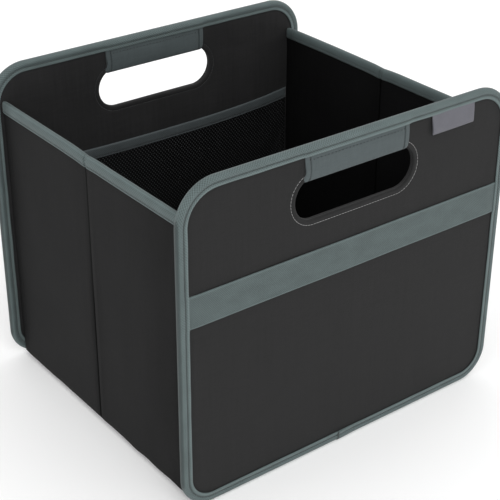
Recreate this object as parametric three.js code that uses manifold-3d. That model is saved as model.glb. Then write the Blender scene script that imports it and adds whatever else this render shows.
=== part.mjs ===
// A collapsible fabric storage crate, standing open.
//
// Two stiffened face panels, bound all round, are joined by side walls that fold inwards at
// a crease in their middle. Two floor boards hinge on the face panels and rise like a tent
// as the panels close up. Millimetres, +X to the right, +Y to the back, +Z up. The origin
// is the middle of the footprint, on the surface that the crate stands on.

import * as THREE from 'three';
import Module from 'manifold-3d';
import { mergeVertices } from 'three/addons/utils/BufferGeometryUtils.js';

const wasm = await Module();
wasm.setup();

// ---- Driving dimensions -------------------------------------------------------------

const faceWidth = 322;          // front and back panels, measured over their edge binding
const faceHeight = 275;
const crateDepth = 272;         // front of the front panel to back of the back panel
const faceTopRadius = 34;
const faceBottomRadius = 28;

const clearance = 0.3;          // between layers that lie on each other
const clothThickness = 0.6;     // woven outer fabric, lining and binding tape
const faceBoardThickness = 2.4;
const bindingWidth = 8.5;       // how far the edge binding reaches over a face panel
const bindingEdge = 1.2;        // binding tape and turned seam, round the panel's edge

const slotWidth = 116;          // handle slot, a stadium
const slotHeight = 35;
const slotCentreZ = 232;
const slotBoardMargin = 1.5;    // the board's hole is this much larger all round
const wrapWidth = 101;          // fabric sleeve over the strip above the handle slot
const wrapBottomZ = 246;
const wrapWebThickness = 3.2;
const wrapCornerRadius = 4;

const bandBottomZ = 161;        // flat webbing band across the front panel
const bandTopZ = 188;
const labelLeftX = 74;          // folded tab hanging from the front panel's top binding
const labelWidth = 45;
const labelBottomZ = 251;

const sideWallX = 150.5;        // outer surface of a side wall
const sideTopZ = 246;           // top of a side wall's binding
const sideBottomZ = 6;
const sideBoardThickness = 1.6;
const sideBindingWidth = 9;
const hingeOffset = 5;          // side and floor hinge lines, in from a face panel
const cornerAxisInset = 4.6;    // corner hinge line, in from a side wall's outer surface
const wallToFaceGap = 0.6;
const creaseHalfGap = 0.8;      // from each half wall to the middle crease
const wallBoardEndGap = 5;      // a wall board stops this short of the corner, where the cloth bends

const floorBottomZ = 5.8;       // underside of the floor's base fabric
const floorClothThickness = 0.5;
const floorBoardThickness = 1.7;
const floorHingeBehind = 2.2;   // how far a floor board reaches past its hinge line
const floorSideInset = 1.5;     // floor board's wide end, in from the corner hinge lines
const floorMitreSlope = 1.35;   // narrowing on each side for each unit of length
const floorTongueHalfWidth = 20;
const floorSeamHalfGap = 0.6;
const gussetOverlap = 5;        // how far a gusset reaches in under the floor boards

const pocketTopZ = 185;         // mesh pocket inside the back panel
const pocketBottomZ = 12;
const pocketHalfWidth = 144.5;
const pocketBindingHeight = 10;
const pocketThickness = 0.5;

const arcSteps = 8;             // facets in each rounded corner

// ---- Worked out from them ------------------------------------------------------------

const faceThickness = 2 * (2 * clothThickness + 2 * clearance) + faceBoardThickness;
const faceOuterY = crateDepth / 2;
const faceInnerY = faceOuterY - faceThickness;
const edgeInset = bindingEdge + clearance;

// Depths of a face panel's layers, from its outer surface inwards
const outerLeg = [0, clothThickness];
const outerCloth = nextLayer(outerLeg, clothThickness);
const faceBoard = nextLayer(outerCloth, faceBoardThickness);
const faceLining = nextLayer(faceBoard, clothThickness);
const innerLeg = nextLayer(faceLining, clothThickness);

// Depths of a side wall's layers, from its outer surface inwards
const sideCloth = [0, clothThickness];
const sideBoard = nextLayer(sideCloth, sideBoardThickness);
const sideLining = nextLayer(sideBoard, clothThickness);

const cornerAxisX = sideWallX - cornerAxisInset;
const cornerAxisY = faceInnerY - hingeOffset;

// ---- Materials -----------------------------------------------------------------------

const finish = (color, roughness) => ({ color, roughness, metalness: 0 });
const blackFabric = finish('#2b2b2c', 0.9);
const blackLining = finish('#1d1d1e', 0.95);
const greyTape = finish('#6b7b7a', 0.8);
const darkTape = finish('#363c3d', 0.8);
const greyLabel = finish('#6a6a70', 0.75);
const blackMesh = finish('#141415', 0.9);
const fibreBoard = finish('#8a7f6c', 0.95);
const plasticBoard = finish('#c9ccca', 0.5);

// ---- Helpers -------------------------------------------------------------------------

function nextLayer(layerBefore, thickness) {
  const start = layerBefore[1] + clearance;
  return [start, start + thickness];
}

// Extrudes an outline along Z, from zLow to zHigh.
function slab(shape, zLow, zHigh) {
  const settings = { depth: zHigh - zLow, bevelEnabled: false, curveSegments: arcSteps };
  return new THREE.ExtrudeGeometry(shape, settings).translate(0, 0, zLow);
}

// Extrudes an outline drawn in X and Z along Y, from yLow to yHigh.
function uprightAlongY(shape, yLow, yHigh) {
  return slab(shape, 0, yHigh - yLow).rotateX(Math.PI / 2).translate(0, yHigh, 0);
}

// Extrudes an outline drawn in Y and Z along X, from xLow to xHigh.
function uprightAlongX(shape, xLow, xHigh) {
  const turn = new THREE.Matrix4().makeBasis(
    new THREE.Vector3(0, 1, 0),
    new THREE.Vector3(0, 0, 1),
    new THREE.Vector3(1, 0, 0),
  );
  return slab(shape, 0, xHigh - xLow).applyMatrix4(turn).translate(xLow, 0, 0);
}

function toSolid(geometry) {
  const bare = geometry.clone();
  bare.deleteAttribute('normal');
  bare.deleteAttribute('uv');
  const merged = mergeVertices(bare, 1e-4);
  return new wasm.Manifold(new wasm.Mesh({
    numProp: 3,
    vertProperties: new Float32Array(merged.attributes.position.array),
    triVerts: new Uint32Array(merged.index.array),
  }));
}

function toGeometry(solid) {
  const mesh = solid.getMesh();
  const geometry = new THREE.BufferGeometry();
  geometry.setAttribute('position', new THREE.BufferAttribute(mesh.vertProperties, 3));
  geometry.setIndex(new THREE.BufferAttribute(mesh.triVerts, 1));
  return geometry;
}

function join(...geometries) {
  return toGeometry(geometries.map(toSolid).reduce((sum, next) => sum.add(next)));
}

function common(first, second) {
  return toGeometry(toSolid(first).intersect(toSolid(second)));
}

function rectangle(left, right, bottom, top) {
  const shape = new THREE.Shape();
  shape.moveTo(left, bottom);
  shape.lineTo(right, bottom);
  shape.lineTo(right, top);
  shape.lineTo(left, top);
  shape.closePath();
  return shape;
}

function polygon(points) {
  return new THREE.Shape(points.map(([x, y]) => new THREE.Vector2(x, y)));
}

// The outline of a face panel, drawn in X and Z, drawn in by inset all round.
function faceOutline(inset, path = new THREE.Shape()) {
  const half = faceWidth / 2 - inset;
  const bottom = inset;
  const top = faceHeight - inset;
  const upper = faceTopRadius - inset;
  const lower = faceBottomRadius - inset;
  path.moveTo(-half + lower, bottom);
  path.lineTo(half - lower, bottom);
  path.absarc(half - lower, bottom + lower, lower, -Math.PI / 2, 0, false);
  path.lineTo(half, top - upper);
  path.absarc(half - upper, top - upper, upper, 0, Math.PI / 2, false);
  path.lineTo(-half + upper, top);
  path.absarc(-half + upper, top - upper, upper, Math.PI / 2, Math.PI, false);
  path.lineTo(-half, bottom + lower);
  path.absarc(-half + lower, bottom + lower, lower, Math.PI, Math.PI * 1.5, false);
  return path;
}

// The outline of a handle slot, made larger by margin all round.
function slotOutline(margin, path = new THREE.Path()) {
  const radius = slotHeight / 2 + margin;
  const centreX = slotWidth / 2 - slotHeight / 2;
  path.moveTo(-centreX, slotCentreZ - radius);
  path.lineTo(centreX, slotCentreZ - radius);
  path.absarc(centreX, slotCentreZ, radius, -Math.PI / 2, Math.PI / 2, false);
  path.lineTo(-centreX, slotCentreZ + radius);
  path.absarc(-centreX, slotCentreZ, radius, Math.PI / 2, Math.PI * 1.5, false);
  return path;
}

const crate = new THREE.Group();

function addPart(name, geometry, material) {
  const mesh = new THREE.Mesh(geometry, new THREE.MeshStandardMaterial(material));
  mesh.name = name;
  crate.add(mesh);
}

// ---- Face panels ---------------------------------------------------------------------

// Turns a layer's depths into its range along Y: side is -1 at the front, 1 at the back.
function faceRange(layer, side) {
  const ends = layer.map((depth) => side * (faceOuterY - depth));
  return [Math.min(...ends), Math.max(...ends)];
}

function faceLayer(layer, side, inset, slotMargin) {
  const shape = faceOutline(inset);
  shape.holes.push(slotOutline(slotMargin));
  return uprightAlongY(shape, ...faceRange(layer, side));
}

function bindingRing(layer, side, width) {
  const shape = faceOutline(0);
  shape.holes.push(faceOutline(width, new THREE.Path()));
  return uprightAlongY(shape, ...faceRange(layer, side));
}

function edgeBinding(side) {
  return join(
    bindingRing([0, faceThickness], side, bindingEdge),
    bindingRing(outerLeg, side, bindingWidth),
    bindingRing(innerLeg, side, bindingWidth),
  );
}

function wrapLegOutline() {
  const half = wrapWidth / 2;
  const radius = wrapCornerRadius;
  const top = faceHeight - bindingWidth - clearance;
  const shape = new THREE.Shape();
  shape.moveTo(-half + radius, wrapBottomZ);
  shape.lineTo(half - radius, wrapBottomZ);
  shape.absarc(half - radius, wrapBottomZ + radius, radius, -Math.PI / 2, 0, false);
  shape.lineTo(half, top);
  shape.lineTo(-half, top);
  shape.lineTo(-half, wrapBottomZ + radius);
  shape.absarc(-half + radius, wrapBottomZ + radius, radius, Math.PI, Math.PI * 1.5, false);
  return shape;
}

// A sleeve that goes down one face, through the slot and up the other.
function gripWrap(side) {
  const webTop = wrapBottomZ + wrapWebThickness;
  const webShape = rectangle(-wrapWidth / 2, wrapWidth / 2, wrapBottomZ, webTop);
  const slotShape = slotOutline(-clearance, new THREE.Shape());
  const wholeDepth = faceRange([0, faceThickness], side);
  return join(
    uprightAlongY(wrapLegOutline(), ...faceRange(outerLeg, side)),
    uprightAlongY(wrapLegOutline(), ...faceRange(innerLeg, side)),
    common(uprightAlongY(webShape, ...wholeDepth), uprightAlongY(slotShape, ...wholeDepth)),
  );
}

for (const [name, side] of [['front', -1], ['back', 1]]) {
  addPart(`${name}_outer_fabric`, faceLayer(outerCloth, side, edgeInset, 0), blackFabric);
  addPart(`${name}_board`, faceLayer(faceBoard, side, edgeInset, slotBoardMargin), fibreBoard);
  addPart(`${name}_lining`, faceLayer(faceLining, side, edgeInset, 0), blackLining);
  addPart(`${name}_edge_binding`, edgeBinding(side), greyTape);
  addPart(`${name}_grip_wrap`, gripWrap(side), greyTape);
}

const bandHalfWidth = faceWidth / 2 - bindingWidth - clearance;
const bandShape = rectangle(-bandHalfWidth, bandHalfWidth, bandBottomZ, bandTopZ);
addPart('front_band', uprightAlongY(bandShape, ...faceRange(outerLeg, -1)), greyTape);

const labelTopZ = faceHeight - bindingWidth - clearance;
const labelShape = rectangle(labelLeftX, labelLeftX + labelWidth, labelBottomZ, labelTopZ);
addPart('label_tab', uprightAlongY(labelShape, ...faceRange(outerLeg, -1)), greyLabel);

// ---- Mesh pocket on the back panel's inner side --------------------------------------

const pocketOuterY = faceInnerY - clearance;
const pocketRange = [pocketOuterY - pocketThickness, pocketOuterY];
const pocketNetTopZ = pocketTopZ - pocketBindingHeight - clearance;
const pocketBindingBottomZ = pocketTopZ - pocketBindingHeight;

function pocketPanel(bottom, top) {
  const shape = rectangle(-pocketHalfWidth, pocketHalfWidth, bottom, top);
  return uprightAlongY(shape, ...pocketRange);
}

addPart('mesh_pocket', pocketPanel(pocketBottomZ, pocketNetTopZ), blackMesh);
addPart('mesh_pocket_binding', pocketPanel(pocketBindingBottomZ, pocketTopZ), darkTape);

// ---- Side walls: each has a front half and a rear half --------------------------------

const halfWallNear = creaseHalfGap;
const halfWallFar = faceInnerY - wallToFaceGap;
const wallPanelTopZ = sideTopZ - bindingEdge;

function mirroredRange(low, high, side) {
  return side > 0 ? [low, high] : [-high, -low];
}

function wallLayer(layer, sideX, sideY, endGap = 0) {
  const [near, far] = mirroredRange(halfWallNear, halfWallFar - endGap, sideY);
  const shape = rectangle(near, far, sideBottomZ, wallPanelTopZ);
  return uprightAlongX(shape, ...mirroredRange(sideWallX - layer[1], sideWallX - layer[0], sideX));
}

// Tape folded over a wall's top edge: a channel, open downwards, with rounded shoulders.
function wallBinding(sideX, sideY) {
  const reach = clothThickness + clearance;
  const outer = sideWallX + reach;
  const inner = sideWallX - sideLining[1] - reach;
  const low = sideTopZ - sideBindingWidth;
  const webZ = wallPanelTopZ + clearance;
  const [left, right] = mirroredRange(inner, outer, sideX);
  const shoulder = 1.2;
  const shape = polygon([
    [left, low],
    [left + clothThickness, low],
    [left + clothThickness, webZ],
    [right - clothThickness, webZ],
    [right - clothThickness, low],
    [right, low],
    [right, sideTopZ - shoulder],
    [right - shoulder, sideTopZ],
    [left + shoulder, sideTopZ],
    [left, sideTopZ - shoulder],
  ]);
  return uprightAlongY(shape, ...mirroredRange(halfWallNear, halfWallFar, sideY));
}

for (const [sideName, sideX] of [['left', -1], ['right', 1]]) {
  for (const [endName, sideY] of [['front', -1], ['rear', 1]]) {
    const name = `${sideName}_${endName}_wall`;
    addPart(`${name}_fabric`, wallLayer(sideCloth, sideX, sideY), blackFabric);
    const board = wallLayer(sideBoard, sideX, sideY, wallBoardEndGap);
    addPart(`${name}_board`, board, fibreBoard);
    addPart(`${name}_lining`, wallLayer(sideLining, sideX, sideY), blackLining);
    addPart(`${name}_binding`, wallBinding(sideX, sideY), greyTape);
  }
}

// ---- Floor: two boards with a cover above and base fabric below, and four gussets -------

// A floor board's outline: wide at the face panel, mitred to a tongue at the middle seam,
// so that the folding side walls clear it. sideY is -1 for the front one.
function floorOutline(sideY) {
  const wide = cornerAxisX - floorSideInset;
  const narrow = floorTongueHalfWidth;
  const mitreLength = (wide - narrow) / floorMitreSlope;
  const outerY = sideY * (cornerAxisY + floorHingeBehind);
  const hingeY = sideY * cornerAxisY;
  const mitreEndY = sideY * (cornerAxisY - mitreLength);
  const seamY = sideY * floorSeamHalfGap;
  return polygon([
    [-wide, outerY],
    [wide, outerY],
    [wide, hingeY],
    [narrow, mitreEndY],
    [narrow, seamY],
    [-narrow, seamY],
    [-narrow, mitreEndY],
    [-wide, hingeY],
  ]);
}

// The soft triangle between a floor board's mitre and the foot of a side wall.
function gussetOutline(sideX, sideY) {
  const wallX = sideWallX - clearance;
  const wide = cornerAxisX - floorSideInset - gussetOverlap;
  const narrow = floorTongueHalfWidth - gussetOverlap;
  const mitreLength = (wide - narrow) / floorMitreSlope;
  const farY = halfWallFar;
  const seamY = floorSeamHalfGap;
  const corners = [
    [wallX, farY],
    [wide, farY],
    [wide, cornerAxisY],
    [narrow, cornerAxisY - mitreLength],
    [narrow, seamY],
    [wallX, seamY],
  ];
  return polygon(corners.map(([x, y]) => [sideX * x, sideY * y]));
}

const baseLayer = [floorBottomZ, floorBottomZ + floorClothThickness];
const boardLayer = nextLayer(baseLayer, floorBoardThickness);
const coverLayer = nextLayer(boardLayer, floorClothThickness);
const gussetTopZ = floorBottomZ - clearance;
const gussetLayer = [gussetTopZ - floorClothThickness, gussetTopZ];

for (const [endName, sideY] of [['front', -1], ['rear', 1]]) {
  const outline = floorOutline(sideY);
  addPart(`${endName}_floor_cover`, slab(outline, ...coverLayer), blackLining);
  addPart(`${endName}_floor_board`, slab(outline, ...boardLayer), plasticBoard);
  addPart(`${endName}_base_fabric`, slab(outline, ...baseLayer), blackFabric);
  for (const [sideName, sideX] of [['left', -1], ['right', 1]]) {
    const gusset = slab(gussetOutline(sideX, sideY), ...gussetLayer);
    addPart(`${sideName}_${endName}_floor_gusset`, gusset, blackFabric);
  }
}

export default crate;
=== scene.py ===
import math

import bmesh
import bpy
import numpy as np
from mathutils import Matrix, Vector, noise


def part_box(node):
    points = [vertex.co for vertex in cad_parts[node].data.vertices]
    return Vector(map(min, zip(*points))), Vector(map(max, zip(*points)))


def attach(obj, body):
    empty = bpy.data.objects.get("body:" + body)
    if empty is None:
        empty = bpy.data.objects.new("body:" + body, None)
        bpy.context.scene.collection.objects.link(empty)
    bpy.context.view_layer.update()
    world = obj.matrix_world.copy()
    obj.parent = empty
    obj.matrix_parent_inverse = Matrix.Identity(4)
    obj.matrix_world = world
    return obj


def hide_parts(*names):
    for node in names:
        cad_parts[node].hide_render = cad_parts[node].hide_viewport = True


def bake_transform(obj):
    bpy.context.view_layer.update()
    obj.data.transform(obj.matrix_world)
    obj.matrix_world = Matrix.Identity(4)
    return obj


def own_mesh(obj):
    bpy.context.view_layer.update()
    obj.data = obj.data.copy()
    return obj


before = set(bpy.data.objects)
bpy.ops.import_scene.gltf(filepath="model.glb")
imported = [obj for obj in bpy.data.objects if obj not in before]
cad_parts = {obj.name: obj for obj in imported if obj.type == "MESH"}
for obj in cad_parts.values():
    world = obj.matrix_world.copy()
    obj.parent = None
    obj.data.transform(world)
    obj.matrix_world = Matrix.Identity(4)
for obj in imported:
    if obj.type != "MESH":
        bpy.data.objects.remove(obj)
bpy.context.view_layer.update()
mm = 0.001

# camera, light and floor
cameraView = {
    "azimuth": -37.483,  # degrees; 0 looks along +Y
    "elevation": 28.955,
    "roll": 0.274,
    "place": (-0.5969, -0.7846, 0.6608),
    "lens": 95.06,
}
studio = {
    "skyStrength": 0.97, "keySize": 1.5, "keyPower": 21, "keyPlace": (-0.75, -2.2, 2.2),
    "fillSize": 1.8, "fillPower": 5, "fillPlace": (2.0, -1.2, 1.6),
    "floorColour": (0.95, 0.95, 0.95, 1), "floorSize": 6.0, "sheen": 0.0, "glow": 0.13,
}


def placeCamera():
    azimuth, elevation, roll = (
        math.radians(cameraView[key]) for key in ("azimuth", "elevation", "roll")
    )
    back = Vector(
        (
            math.sin(azimuth) * math.cos(elevation),
            -math.cos(azimuth) * math.cos(elevation),
            math.sin(elevation),
        )
    )
    right = (-back).cross(Vector((0, 0, 1))).normalized()
    up = right.cross(-back)
    turnedRight = right * math.cos(roll) + up * math.sin(roll)
    turnedUp = up * math.cos(roll) - right * math.sin(roll)
    camera = bpy.data.objects.new("camera", bpy.data.cameras.new("camera"))
    camera.data.lens = cameraView["lens"]
    camera.data.sensor_width = 36
    camera.data.clip_start = 0.01
    turn = Matrix((turnedRight, turnedUp, back)).transposed().to_4x4()
    camera.matrix_world = Matrix.Translation(cameraView["place"]) @ turn
    bpy.context.scene.collection.objects.link(camera)
    bpy.context.scene.camera = camera


def addSoftLight(name, size, power, place):
    lamp = bpy.data.lights.new(name, "AREA")
    lamp.shape = "DISK"
    lamp.size = size
    lamp.energy = power
    holder = bpy.data.objects.new(name, lamp)
    holder.location = place
    aim = Vector((0, 0, 0.13)) - Vector(place)
    holder.rotation_euler = aim.to_track_quat("-Z", "Y").to_euler()
    bpy.context.scene.collection.objects.link(holder)


placeCamera()
addSoftLight("keyLight", studio["keySize"], studio["keyPower"], studio["keyPlace"])
addSoftLight("fillLight", studio["fillSize"], studio["fillPower"], studio["fillPlace"])
world = bpy.data.worlds.new("studio")
world.use_nodes = True
world.node_tree.nodes["Background"].inputs["Color"].default_value = (1, 1, 1, 1)
world.node_tree.nodes["Background"].inputs["Strength"].default_value = studio["skyStrength"]
bpy.context.scene.world = world
bpy.context.scene.view_settings.view_transform = "Standard"
print("camera and lights are set")


# shader maths
class Wire:
    # a shader socket that can stand in a sum
    def __init__(self, tree, socket=None):
        self.tree = tree
        self.socket = socket

    def add(self, kind, settings=None, inputs=None, out=0):
        made = self.tree.nodes.new(kind)
        for name, value in (settings or {}).items():
            setattr(made, name, value)
        for name, value in (inputs or {}).items():
            if isinstance(value, Wire):
                self.tree.links.new(value.socket, made.inputs[name])
            else:
                made.inputs[name].default_value = value
        return Wire(self.tree, made.outputs[out])

    def maths(self, operation, *others):
        return self.sums(operation, self, *others)

    def sums(self, operation, *terms):
        return self.add("ShaderNodeMath", {"operation": operation}, dict(enumerate(terms)))

    def __add__(self, other):
        return self.sums("ADD", self, other)

    def __sub__(self, other):
        return self.sums("SUBTRACT", self, other)

    def __rsub__(self, other):
        return self.sums("SUBTRACT", other, self)

    def __mul__(self, other):
        return self.sums("MULTIPLY", self, other)

    __radd__ = __add__
    __rmul__ = __mul__

    def tint(self, first, second):
        # first where this is 0, second where it is 1
        return self.add(
            "ShaderNodeMix", {"data_type": "RGBA"}, {0: self, 6: first, 7: second}, out=2,
        )


def newFinish(name):
    made = bpy.data.materials.new(name)
    made.use_nodes = True
    made.node_tree.nodes.clear()
    return made, Wire(made.node_tree)


def mapOf(wire):
    # millimetres along and across the cloth, from the piece's own map
    spot = wire.add("ShaderNodeUVMap", {"uv_map": "cloth"})
    along = wire.add("ShaderNodeSeparateXYZ", inputs={0: spot})
    across = Wire(wire.tree, along.socket.node.outputs[1])
    return along, across


def speckle(wire, along, across, alongSize, acrossSize, detail=2):
    # noise whose grains are alongSize by acrossSize millimetres
    place = wire.add(
        "ShaderNodeCombineXYZ", inputs={0: along * (1 / alongSize), 1: across * (1 / acrossSize)}
    )
    return wire.add(
        "ShaderNodeTexNoise", {"noise_dimensions": "2D"},
        {"Vector": place, "Scale": 1.0, "Detail": detail, "Roughness": 0.55},
    )


def ridge(across, centre, width):
    # 1 on a line across the tape, fading over width
    off = (across - centre) * (1 / width)
    return (off * off * -1).maths("EXPONENT")


def closeFinish(wire, colour, roughness, height, depth, look):
    bump = wire.add(
        "ShaderNodeBump", inputs={"Strength": 1.0, "Distance": depth * mm, "Height": height},
    )
    inputs = {
        "Base Color": colour, "Roughness": roughness, "Normal": bump,
        "Specular IOR Level": look.get("specular", 0.25),
        "Sheen Weight": look.get("sheen", 0.25), "Sheen Roughness": 0.45,
    }
    if "alpha" in look:
        inputs["Alpha"] = look["alpha"]
    if "glow" in look:
        inputs["Emission Color"] = (1, 1, 1, 1)
        inputs["Emission Strength"] = look["glow"]
    shader = wire.add("ShaderNodeBsdfPrincipled", inputs=inputs)
    end = wire.tree.nodes.new("ShaderNodeOutputMaterial")
    wire.tree.links.new(shader.socket, end.inputs["Surface"])


def shade(colour, factor):
    return (*(min(1.0, c * factor) for c in colour), 1)


plainCloth = {
    "blackFabric": {
        "colour": (0.0153, 0.0153, 0.0155), "yarn": 0.62, "contrast": 0.24, "cloud": 0.1,
        "streak": 0.2, "depth": 0.07, "roughness": 0.8, "sheen": 0.05, "specular": 0.16,
    },
    # a darker copy of the black fabric: painted shade for the walls, with painted shade along the
    # crease and towards the seams
    "wallFabric": {
        "colour": (0.0099, 0.0099, 0.0101),
        "yarn": 0.62,
        "contrast": 0.24,
        "cloud": 0.16,
        "streak": 0.34,
        "depth": 0.07,
        "roughness": 0.8,
        "sheen": 0.02,
        "specular": 0.1,
        "fold": 0.7,  # painted shade along the crease
        "ends": 0.75,  # and painted shade towards the seams
    },
    # its strong cloud is random tone that also stands in for painted wrinkle shade
    "blackLining": {
        "colour": (0.021, 0.021, 0.0214), "yarn": 0.48, "contrast": 0.22, "cloud": 0.3,
        "streak": 0.26, "depth": 0.05, "roughness": 0.86, "sheen": 0.02, "specular": 0.1,
    },
    # a darker copy of the black lining: painted shade for the walls' insides, with painted crease
    # and end shade
    "wallLining": {
        "colour": (0.006, 0.006, 0.0062), "yarn": 0.48, "contrast": 0.22, "cloud": 0.18,
        "streak": 0.3, "depth": 0.05, "roughness": 0.88, "sheen": 0.0, "specular": 0.06,
        "fold": 0.5, "ends": 0.4,
    },
    "greyWrap": {
        "colour": (0.069, 0.085, 0.088), "yarn": 0.8, "contrast": 0.26, "cloud": 0.14,
        "streak": 0.08, "depth": 0.08, "roughness": 0.82, "sheen": 0.08, "specular": 0.2,
        # painted shade in the stitch grooves, this far in from each side
        "hem": 4.7,
    },
}


def plainWeave(name):
    look = plainCloth[name]
    made, wire = newFinish(name)
    along, across = mapOf(wire)
    turn = math.pi / look["yarn"]
    crossing = (along * turn).maths("SINE") * (across * turn).maths("SINE")
    yarns = crossing.maths("ABSOLUTE").maths("POWER", 0.6)
    warpOnTop = crossing.maths("GREATER_THAN", 0.0)
    slub = speckle(wire, along, across, 9, 0.7) * warpOnTop + speckle(
        wire, across, along, 9, 0.7
    ) * (1 - warpOnTop)
    cloud = speckle(wire, along, across, 46, 38, 3)
    streak = speckle(wire, along, across, 2.6, 75) * 0.6 + (
        speckle(wire, along, across, 60, 2.2) * 0.4
    )
    tone = (
        yarns * look["contrast"]
        + (slub - 0.5) * 0.4
        + (cloud - 0.5) * (look["cloud"] * 2)
        + (streak - 0.5) * (look["streak"] * 2)
        + (0.5 - look["contrast"] * 0.6)
    )
    if "hem" in look:
        # painted shade in the groove along each stitch row of the sleeve
        half = gripWrapHalf - look["hem"]
        tone = tone - (ridge(along, half, 0.7) + ridge(along, -half, 0.7)) * 0.6
    colour = tone.tint(shade(look["colour"], 0.55), shade(look["colour"], 1.5))
    if "fold" in look:
        # painted shade: a line along the crease, a broad band on its rear side, a fade towards
        # both seams, and patches near the front end
        ends = (along.maths("ABSOLUTE") - 112).maths("MAXIMUM", 0) * (1 / 18)
        near = (along * -1 - 62).maths("MAXIMUM", 0) * (1 / 46)
        shadePatches = speckle(wire, along, across, 26, 120, 1) * 1.3
        paintedShade = ridge(along, 0, 1.3) * look["fold"] + ridge(along, 6, 9) * 0.26
        paintedShade = paintedShade + ends.maths("MINIMUM", 1) * look["ends"] * 0.5
        paintedShade = paintedShade + near.maths("MINIMUM", 1) * shadePatches * look["ends"]
        colour = paintedShade.maths("MINIMUM", 0.85).tint(colour, (0.0015, 0.0015, 0.0015, 1))
    roughness = (cloud - 0.5) * 0.12 + (yarns * -0.06) + look["roughness"]
    closeFinish(wire, colour, roughness, yarns + slub * 0.35, look["depth"], look)
    return made


tapeCloth = {
    "greyTape": {
        "colour": (0.086, 0.112, 0.112),
        "rib": 2.2,  # repeat along the tape
        "slant": 2.3,  # and across it
        "pale": (1.5, 21.4),  # where the selvedges lie
        "sunk": (3.75, 19.1),  # where the stitch rows run, with painted shade in their grooves
        "joint": 0.9,  # shadow where the tape's end laps over
        "sideShade": 0.5,  # painted shade on the panel's narrow edges
        "depth": 0.16,
        "roughness": 0.76,
        "sheen": 0.1,
    },
    "wallTape": {
        "colour": (0.078, 0.103, 0.103), "rib": 2.0, "slant": 2.4, "pale": (0.5, 9.4),
        "sunk": (1.9, 21.3), "fold": 0.6, "depth": 0.15, "roughness": 0.78, "sheen": 0.1,
    },
    "greyWebbing": {
        "colour": (0.07, 0.091, 0.091), "rib": 1.5, "slant": 1.9, "pale": (0.9, 26.4),
        "sunk": (-9, -9), "depth": 0.12, "roughness": 0.78, "sheen": 0.1,
    },
    "darkTape": {
        "colour": (0.054, 0.064, 0.067), "rib": 1.6, "slant": 2.1, "pale": (0.5, 9.6),
        "sunk": (1.8, 18.8), "depth": 0.12, "roughness": 0.74, "sheen": 0.1,
    },
}


tapeSides = 0.1596  # from this far out, in metres, a tape runs down the panel's side and gets painted shade


def tapeWeave(name):
    look = tapeCloth[name]
    made, wire = newFinish(name)
    along, across = mapOf(wire)
    one = along * (2 * math.pi / look["rib"])
    other = across * (2 * math.pi / look["slant"])
    twill = (one + other).maths("SINE") * 0.62 + (one - other).maths("SINE") * 0.38
    picks = (across * (math.pi / 0.5)).maths("SINE").maths("ABSOLUTE")
    yarns = twill * 0.42 + 0.45 + picks * 0.13
    fluff = speckle(wire, along, across, 1.3, 0.7)
    cloud = speckle(wire, along, across, 21, 9, 3)
    pale = ridge(across, look["pale"][0], 0.6) + ridge(across, look["pale"][1], 0.6)
    # the stitch grooves: painted shade in the colour, and a dip in the bump
    sunk = ridge(across, look["sunk"][0], 0.5) + ridge(across, look["sunk"][1], 0.5)
    tone = (
        (yarns - 0.45) * 0.75
        + (fluff - 0.5) * 0.5
        + (cloud - 0.5) * 0.35
        + pale * 0.3
        - sunk * 0.42
        + 0.45
    )
    if "fold" in look:
        # painted shade: two lines in the crease's notch and a band near the rear corner
        creaseShade = ridge(along, -1.5, 0.5) + ridge(along, 1.5, 0.5)
        tone = tone - creaseShade * look["fold"] * 0.5 - ridge(along, 122, 4) * 0.15
    if "joint" in look:
        tone = tone - ridge(along, 0, 0.7) * look["joint"]
        # painted shade where the tape runs down the panel's narrow edges
        spot = wire.add("ShaderNodeTexCoord", out="Object")
        out = wire.add("ShaderNodeSeparateXYZ", inputs={0: spot}).maths("ABSOLUTE")
        narrow = ((out - tapeSides) * 1000).maths("MAXIMUM", 0).maths("MINIMUM", 1)
        tone = tone - narrow * look["sideShade"]
    colour = tone.tint(shade(look["colour"], 0.45), shade(look["colour"], 1.65))
    roughness = (cloud - 0.5) * 0.1 - yarns * 0.06 + look["roughness"]
    closeFinish(wire, colour, roughness, yarns + fluff * 0.3 - sunk * 0.6, look["depth"], look)
    return made


labelCloth = {"colour": (0.1, 0.1, 0.116), "rib": 0.42, "sheen": 0.1, "specular": 0.3}


def satinWeave():
    made, wire = newFinish("greyLabel")
    along, across = mapOf(wire)
    ribs = (across * (math.pi / labelCloth["rib"])).maths("SINE").maths("ABSOLUTE")
    fluff = speckle(wire, along, across, 2.6, 0.4)
    cloud = speckle(wire, along, across, 14, 10, 3)
    tone = ribs * 0.3 + (fluff - 0.5) * 0.4 + (cloud - 0.5) * 0.3 + 0.35
    colour = tone.tint(shade(labelCloth["colour"], 0.7), shade(labelCloth["colour"], 1.35))
    closeFinish(wire, colour, 0.62 - cloud * 0.1, ribs + fluff * 0.3, 0.05, labelCloth)
    return made


netCloth = {
    "colour": (0.0022, 0.0022, 0.0024),
    "dash": (0.1, 0.106, 0.108),
    "along": 3.3,  # repeat of the knitted cells
    "across": 3.9,
    "open": 0.5,
    "sheen": 0.0,
    "specular": 0.12,
}


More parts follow.
